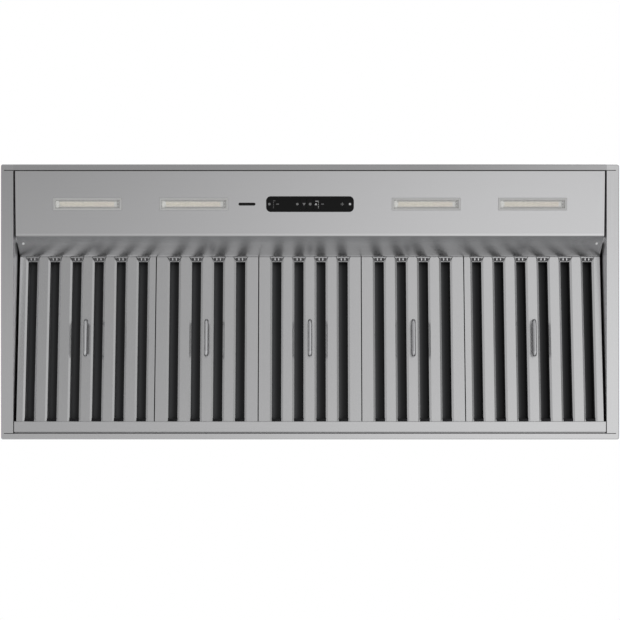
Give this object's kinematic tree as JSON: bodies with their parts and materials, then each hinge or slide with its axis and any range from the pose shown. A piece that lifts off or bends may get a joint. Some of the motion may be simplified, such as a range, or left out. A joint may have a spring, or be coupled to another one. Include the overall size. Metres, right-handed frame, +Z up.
{
  "type": "range hood insert",
  "caption": "Built-in range hood liner in brushed steel: lamp and control panel, baffle filters that tilt down, two blowers and two duct collars with dampers.",
  "frame": {"origin": "centre of the trim frame's outline on its lowest face, as installed", "axes": "+Z up as installed, towards the ducts; -Y towards the cook, at the lamp panel; +X to the cook's right"},
  "size_m": [1.483, 0.66, 0.362],
  "materials": {
    "stainless": "brushed stainless sheet, satin",
    "galvanised": "galvanised sheet, dull spangle",
    "polished_steel": "polished stainless rod",
    "screw_steel": "bright screw heads",
    "spring_steel": "spring steel strip",
    "lamp_bezel": "satin grey",
    "lamp_lens": "clear lens",
    "led_strip": "warm white strip",
    "sensor_black": "black window",
    "gloss_black": "black gloss",
    "circuit_board": "green board",
    "driver_case": "off-white case",
    "wheel_aluminium": "formed aluminium sheet",
    "motor_paint": "black paint"
  },
  "bodies": {
    "liner": {"trim_frame": "stainless", "left_wall": "stainless", "right_wall": "stainless", "front_wall": "stainless", "rear_wall": "stainless", "top_panel": "galvanised", "light_panel": "stainless", "panel_screws": "screw_steel", "compartment_cover": "galvanised", "rear_ledge": "stainless", "catch_springs": "spring_steel", "light_bezel_1": "lamp_bezel", "light_bezel_2": "lamp_bezel", "light_bezel_3": "lamp_bezel", "light_bezel_4": "lamp_bezel", "light_lens_1": "lamp_lens", "light_lens_2": "lamp_lens", "light_lens_3": "lamp_lens", "light_lens_4": "lamp_lens", "led_strips": "led_strip", "sensor_window": "sensor_black", "control_fascia": "gloss_black", "control_board": "circuit_board", "driver_box": "driver_case", "left_scroll": "galvanised", "right_scroll": "galvanised", "left_motor": "motor_paint", "right_motor": "motor_paint", "motor_brackets": "galvanised", "left_collar": "galvanised", "right_collar": "galvanised", "damper_spindles": "galvanised", "junction_box": "galvanised", "junction_cover": "galvanised"},
    "filter_1": {"filter_1_pan": "stainless", "filter_1_baffles": "stainless", "filter_1_handle": "polished_steel"},
    "filter_2": {"filter_2_pan": "stainless", "filter_2_baffles": "stainless", "filter_2_handle": "polished_steel"},
    "filter_3": {"filter_3_pan": "stainless", "filter_3_baffles": "stainless", "filter_3_handle": "polished_steel"},
    "filter_4": {"filter_4_pan": "stainless", "filter_4_baffles": "stainless", "filter_4_handle": "polished_steel"},
    "filter_5": {"filter_5_pan": "stainless", "filter_5_baffles": "stainless", "filter_5_handle": "polished_steel"},
    "button_light_body": {"button_light": "gloss_black"},
    "button_down_body": {"button_down": "gloss_black"},
    "button_timer_body": {"button_timer": "gloss_black"},
    "button_up_body": {"button_up": "gloss_black"},
    "button_power_body": {"button_power": "gloss_black"},
    "left_impeller_body": {"left_impeller": "wheel_aluminium"},
    "left_damper_front_body": {"left_damper_front": "galvanised"},
    "left_damper_rear_body": {"left_damper_rear": "galvanised"},
    "right_impeller_body": {"right_impeller": "wheel_aluminium"},
    "right_damper_front_body": {"right_damper_front": "galvanised"},
    "right_damper_rear_body": {"right_damper_rear": "galvanised"}
  },
  "joints": [
    {"name": "filter_1_tilt", "type": "hinge", "parent": "liner", "child": "filter_1", "pos_m": [-0.5404, 0.286, 0.008], "axis": [1, 0, 0], "range_deg": [0, 75], "deforming": ["catch_springs"]},
    {"name": "filter_2_tilt", "type": "hinge", "parent": "liner", "child": "filter_2", "pos_m": [-0.2494, 0.286, 0.008], "axis": [1, 0, 0], "range_deg": [0, 75], "deforming": ["catch_springs"]},
    {"name": "filter_3_tilt", "type": "hinge", "parent": "liner", "child": "filter_3", "pos_m": [0, 0.286, 0.008], "axis": [1, 0, 0], "range_deg": [0, 75], "deforming": ["catch_springs"]},
    {"name": "filter_4_tilt", "type": "hinge", "parent": "liner", "child": "filter_4", "pos_m": [0.2494, 0.286, 0.008], "axis": [1, 0, 0], "range_deg": [0, 75], "deforming": ["catch_springs"]},
    {"name": "filter_5_tilt", "type": "hinge", "parent": "liner", "child": "filter_5", "pos_m": [0.5404, 0.286, 0.008], "axis": [1, 0, 0], "range_deg": [0, 75], "deforming": ["catch_springs"]},
    {"name": "button_light_press", "type": "slide", "parent": "liner", "child": "button_light_body", "axis": [0, -0.0589, 0.9983], "range_m": [0, 0.0012], "stiffness_N_per_m": 400, "springref_m": -0.002},
    {"name": "button_down_press", "type": "slide", "parent": "liner", "child": "button_down_body", "axis": [0, -0.0589, 0.9983], "range_m": [0, 0.0012], "stiffness_N_per_m": 400, "springref_m": -0.002},
    {"name": "button_timer_press", "type": "slide", "parent": "liner", "child": "button_timer_body", "axis": [0, -0.0589, 0.9983], "range_m": [0, 0.0012], "stiffness_N_per_m": 400, "springref_m": -0.002},
    {"name": "button_up_press", "type": "slide", "parent": "liner", "child": "button_up_body", "axis": [0, -0.0589, 0.9983], "range_m": [0, 0.0012], "stiffness_N_per_m": 400, "springref_m": -0.002},
    {"name": "button_power_press", "type": "slide", "parent": "liner", "child": "button_power_body", "axis": [0, -0.0589, 0.9983], "range_m": [0, 0.0012], "stiffness_N_per_m": 400, "springref_m": -0.002},
    {"name": "left_impeller_spin", "type": "hinge", "parent": "liner", "child": "left_impeller_body", "pos_m": [-0.33, -0.005, 0.2], "axis": [1, 0, 0], "continuous": true},
    {"name": "left_damper_front_swing", "type": "hinge", "parent": "liner", "child": "left_damper_front_body", "pos_m": [-0.33, 0.06, 0.33], "axis": [-1, 0, 0], "range_deg": [0, 75]},
    {"name": "left_damper_rear_swing", "type": "hinge", "parent": "liner", "child": "left_damper_rear_body", "pos_m": [-0.33, 0.06, 0.33], "axis": [1, 0, 0], "range_deg": [0, 75]},
    {"name": "right_impeller_spin", "type": "hinge", "parent": "liner", "child": "right_impeller_body", "pos_m": [0.33, -0.005, 0.2], "axis": [1, 0, 0], "continuous": true},
    {"name": "right_damper_front_swing", "type": "hinge", "parent": "liner", "child": "right_damper_front_body", "pos_m": [0.33, 0.06, 0.33], "axis": [-1, 0, 0], "range_deg": [0, 75]},
    {"name": "right_damper_rear_swing", "type": "hinge", "parent": "liner", "child": "right_damper_rear_body", "pos_m": [0.33, 0.06, 0.33], "axis": [1, 0, 0], "range_deg": [0, 75]}
  ]
}
